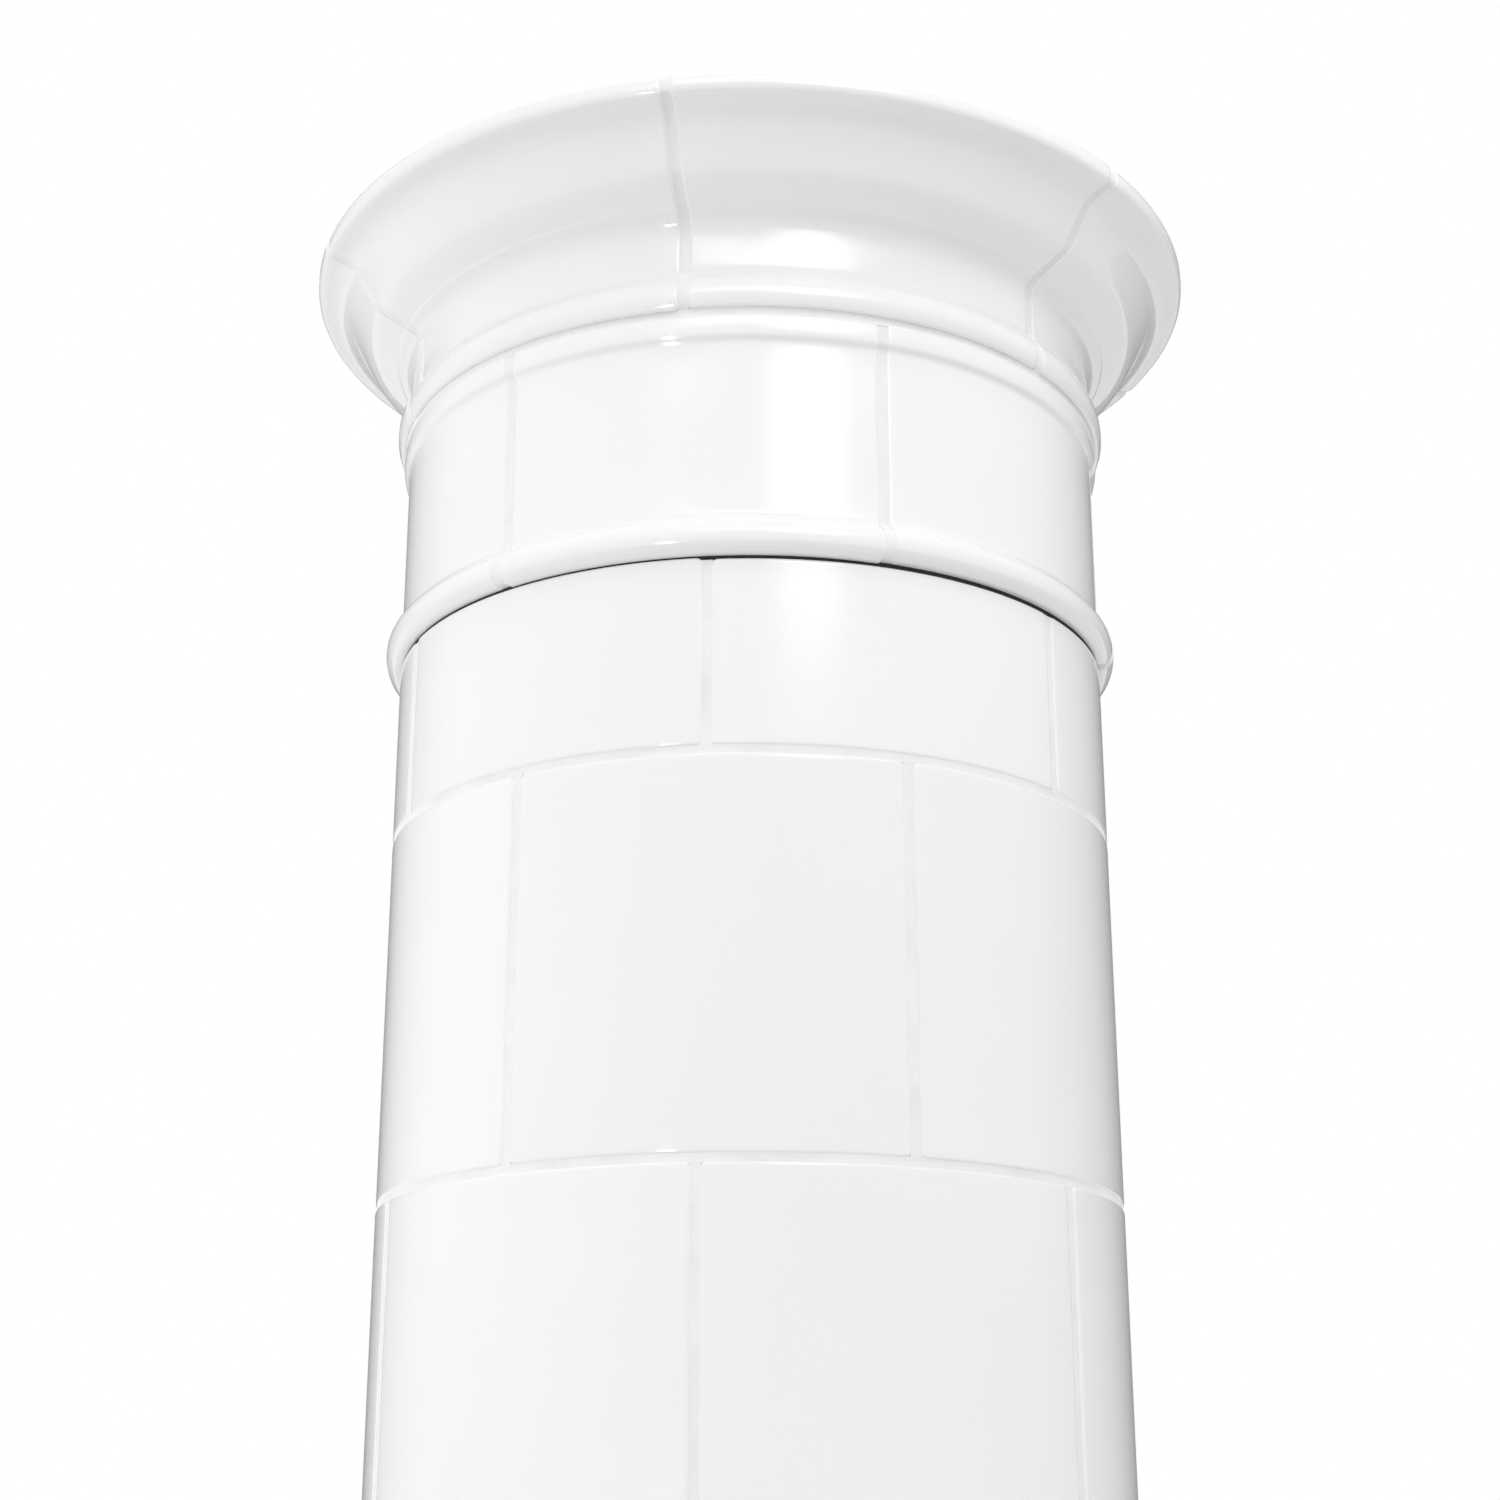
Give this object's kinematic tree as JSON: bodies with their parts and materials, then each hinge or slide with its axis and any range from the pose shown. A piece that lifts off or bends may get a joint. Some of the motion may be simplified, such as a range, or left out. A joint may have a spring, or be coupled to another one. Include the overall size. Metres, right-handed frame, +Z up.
{
  "type": "tiled stove",
  "caption": "Tall round masonry stove in white glazed tiles on a moulded plinth, with a flaring crown, hinged fire doors, a damper and a rear flue.",
  "frame": {"origin": "on the floor under the middle of the stove", "axes": "+Z up the stove's axis, the fire doors face -Y, +X to the right of someone facing the doors"},
  "size_m": [0.7754, 0.7752, 2.3],
  "materials": {
    "white_glaze": "glossy glaze over fired clay",
    "brass": "polished, lightly aged",
    "iron": "matt black",
    "steel": "plain sheet",
    "firebrick": "rough fired clay",
    "mortar": "rough brickwork and mortar",
    "fibre": "compressed fibre"
  },
  "bodies": {
    "stove": {"core_block_head": "firebrick", "core_block_lower": "firebrick", "core_block_middle": "firebrick", "core_block_upper": "firebrick", "crown_cover": "mortar", "crown_tile_1": "white_glaze", "crown_tile_2": "white_glaze", "crown_tile_3": "white_glaze", "crown_tile_4": "white_glaze", "crown_tile_5": "white_glaze", "crown_tile_6": "white_glaze", "door_frame": "brass", "expansion_strip": "fibre", "firebox_lining": "firebrick", "firebox_roof": "firebrick", "flue_collar": "steel", "flue_spigot": "steel", "foundation_block": "mortar", "frieze_tile_1": "white_glaze", "frieze_tile_2": "white_glaze", "frieze_tile_3": "white_glaze", "frieze_tile_4": "white_glaze", "frieze_tile_5": "white_glaze", "frieze_tile_6": "white_glaze", "half_tile_1": "white_glaze", "half_tile_2": "white_glaze", "half_tile_3": "white_glaze", "half_tile_4": "white_glaze", "half_tile_5": "white_glaze", "half_tile_6": "white_glaze", "hearth_slab": "firebrick", "left_hinge_pin": "brass", "lintel_bar": "iron", "plinth_ring": "white_glaze", "right_hinge_pin": "brass", "tile_row_1": "white_glaze", "tile_row_2": "white_glaze", "tile_row_3": "white_glaze", "tile_row_4": "white_glaze", "top_slab": "mortar", "upper_tile_1": "white_glaze", "upper_tile_2": "white_glaze", "upper_tile_3": "white_glaze", "upper_tile_4": "white_glaze", "upper_tile_5": "white_glaze", "upper_tile_6": "white_glaze"},
    "left_leaf": {"left_door": "brass", "left_heat_shield": "iron", "left_pull_knob": "brass"},
    "right_leaf": {"right_door": "brass", "right_heat_shield": "iron"},
    "latch": {"latch_knob": "brass", "latch_bar": "iron"},
    "left_shutter": {"left_draught_shutter": "brass"},
    "right_shutter": {"right_draught_shutter": "brass"},
    "damper": {"damper_plate": "iron", "damper_rod": "iron", "damper_knob": "brass"},
    "left_hatch": {"left_soot_hatch": "brass"},
    "right_hatch": {"right_soot_hatch": "brass"}
  },
  "joints": [
    {"name": "left_leaf_hinge", "type": "hinge", "parent": "stove", "child": "left_leaf", "pos_m": [-0.146, -0.27335, 0.655], "axis": [0, 0, -1], "range_deg": [0, 105]},
    {"name": "right_leaf_hinge", "type": "hinge", "parent": "stove", "child": "right_leaf", "pos_m": [0.146, -0.27335, 0.655], "axis": [0, 0, 1], "range_deg": [0, 105]},
    {"name": "latch_turn", "type": "hinge", "parent": "right_leaf", "child": "latch", "pos_m": [0.02615, -0.29886, 0.655], "axis": [-0.0872, 0.9962, 0], "range_deg": [0, 90]},
    {"name": "left_shutter_slide", "type": "slide", "parent": "left_leaf", "child": "left_shutter", "axis": [0, 0, 1], "range_m": [-0.007, 0]},
    {"name": "right_shutter_slide", "type": "slide", "parent": "right_leaf", "child": "right_shutter", "axis": [0, 0, 1], "range_m": [-0.007, 0]},
    {"name": "damper_slide", "type": "slide", "parent": "stove", "child": "damper", "axis": [0, -1, 0], "range_m": [0, 0.108]},
    {"name": "left_hatch_pull", "type": "slide", "parent": "stove", "child": "left_hatch", "axis": [-0.866, 0.5, 0], "range_m": [0, 0.12]},
    {"name": "right_hatch_pull", "type": "slide", "parent": "stove", "child": "right_hatch", "axis": [0.866, 0.5, 0], "range_m": [0, 0.12]}
  ]
}
